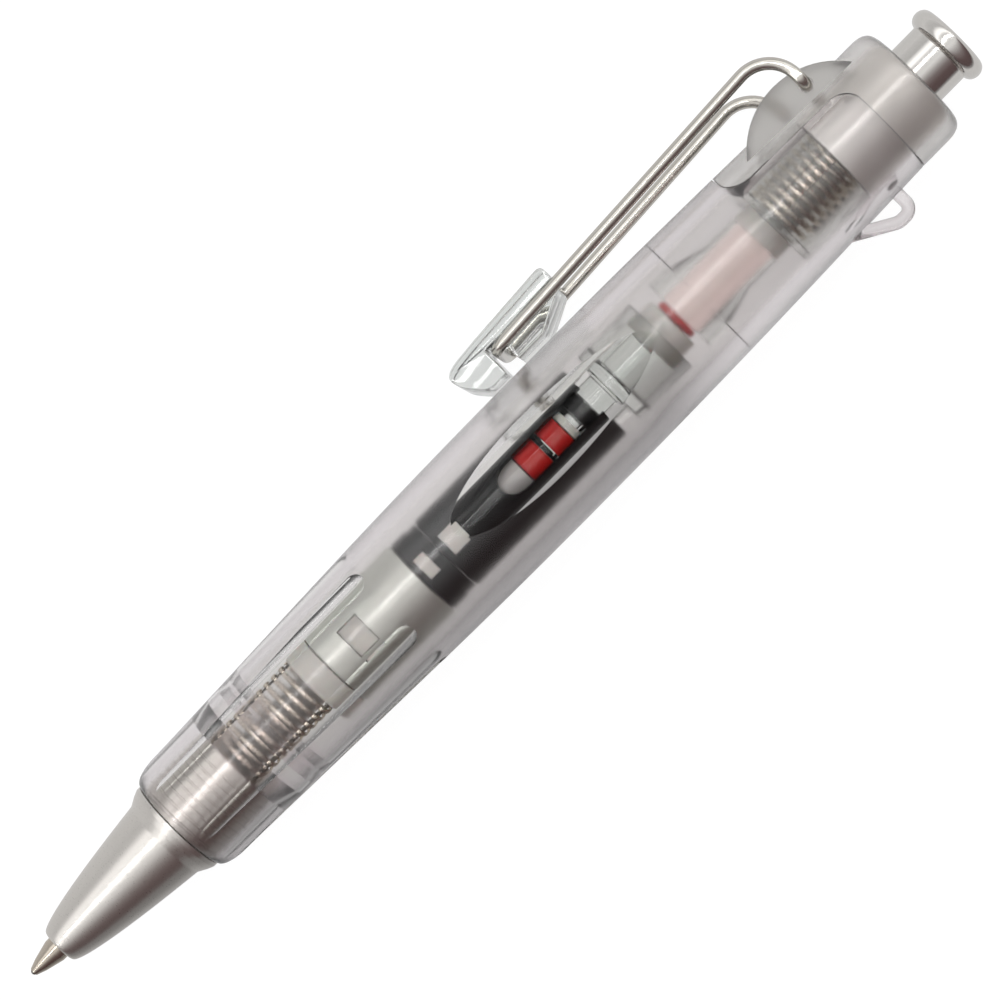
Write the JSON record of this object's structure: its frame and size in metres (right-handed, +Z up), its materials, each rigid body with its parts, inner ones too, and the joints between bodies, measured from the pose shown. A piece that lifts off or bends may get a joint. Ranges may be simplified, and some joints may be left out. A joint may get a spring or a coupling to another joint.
{
  "type": "ballpoint pen",
  "caption": "Pressurized click ballpoint pen with a clear grooved barrel, scooped windows, metal nose, sprung wire clip with clear pad, cord eye and visible valve and springs.",
  "frame": {"origin": "middle of the box's underside: the table under the middle of the lying pen", "axes": "+X along the pen from the point to the button, +Y to the side that the clip is on, +Z up out of the window; the clip dips 6.1 degrees below +Y, as the pen rests on its barrel and clip"},
  "size_m": [0.1254, 0.022, 0.0144],
  "materials": {
    "tip_steel": "polished stainless steel",
    "satin_silver": "satin chrome plate",
    "spring_steel": "bright drawn stainless wire",
    "frosted_clear": "fine frosted polycarbonate",
    "clear_plastic": "polished clear plastic",
    "pearl_white": "pearl",
    "white_plastic": "moulded",
    "black_plastic": "moulded",
    "red_rubber": "soft satin",
    "pink_clear": "tinted translucent"
  },
  "bodies": {
    "barrel": {"barrel": "frosted_clear", "tail_cap": "frosted_clear", "guide_tube": "clear_plastic", "knock_bush": "satin_silver", "rear_spring": "spring_steel"},
    "nose": {"nose_cone": "satin_silver"},
    "carriage": {"tip_socket": "tip_steel", "tip_adapter": "white_plastic", "refill_tube": "clear_plastic", "front_spring": "spring_steel", "spring_seat": "white_plastic", "front_sleeve": "pearl_white", "sleeve_core": "white_plastic", "coupler_ring": "black_plastic", "valve_sleeve": "black_plastic", "inlet_plug": "clear_plastic", "front_seal": "red_rubber"},
    "ball": {"writing_ball": "tip_steel"},
    "knock": {"button": "satin_silver", "push_rod": "white_plastic", "piston_rod": "pink_clear", "rear_housing": "clear_plastic", "rod_seal": "red_rubber", "piston_head": "white_plastic", "air_cylinder": "clear_plastic", "retaining_ring": "black_plastic", "seal_spacer": "white_plastic", "rear_seal": "red_rubber"},
    "rotor": {"cam_rotor": "white_plastic"},
    "clip": {"clip_wire": "spring_steel", "clip_pad": "clear_plastic"}
  },
  "joints": [
    {"name": "nose_screw", "type": "slide", "parent": "barrel", "child": "nose", "axis": [-1, 0, 0], "range_m": [0, 0.012]},
    {"name": "button_press", "type": "slide", "parent": "barrel", "child": "knock", "axis": [1, 0, 0], "range_m": [-0.0015, 0.0055], "stiffness_N_per_m": 600, "deforming": ["rear_spring"]},
    {"name": "refill_shift", "type": "slide", "parent": "barrel", "child": "carriage", "axis": [1, 0, 0], "range_m": [-0.0012, 0.0044], "deforming": ["front_spring"]},
    {"name": "ratchet_turn", "type": "hinge", "parent": "knock", "child": "rotor", "pos_m": [0.0369, -0.00178, 0.00719], "axis": [1, 0, 0], "continuous": true},
    {"name": "ball_roll", "type": "hinge", "parent": "carriage", "child": "ball", "pos_m": [-0.06235, -0.00178, 0.00719], "axis": [0, 0.1063, 0.9943], "continuous": true},
    {"name": "clip_lift", "type": "hinge", "parent": "barrel", "child": "clip", "pos_m": [0.0478, 0.00458, 0.00651], "axis": [0, -0.1063, -0.9943], "range_deg": [0, 10], "stiffness_Nm_per_rad": 2, "deforming": ["clip_wire"]}
  ],
  "couplings": [
    {"joint": "refill_shift", "follows": "button_press", "ratio": 0.8}
  ]
}
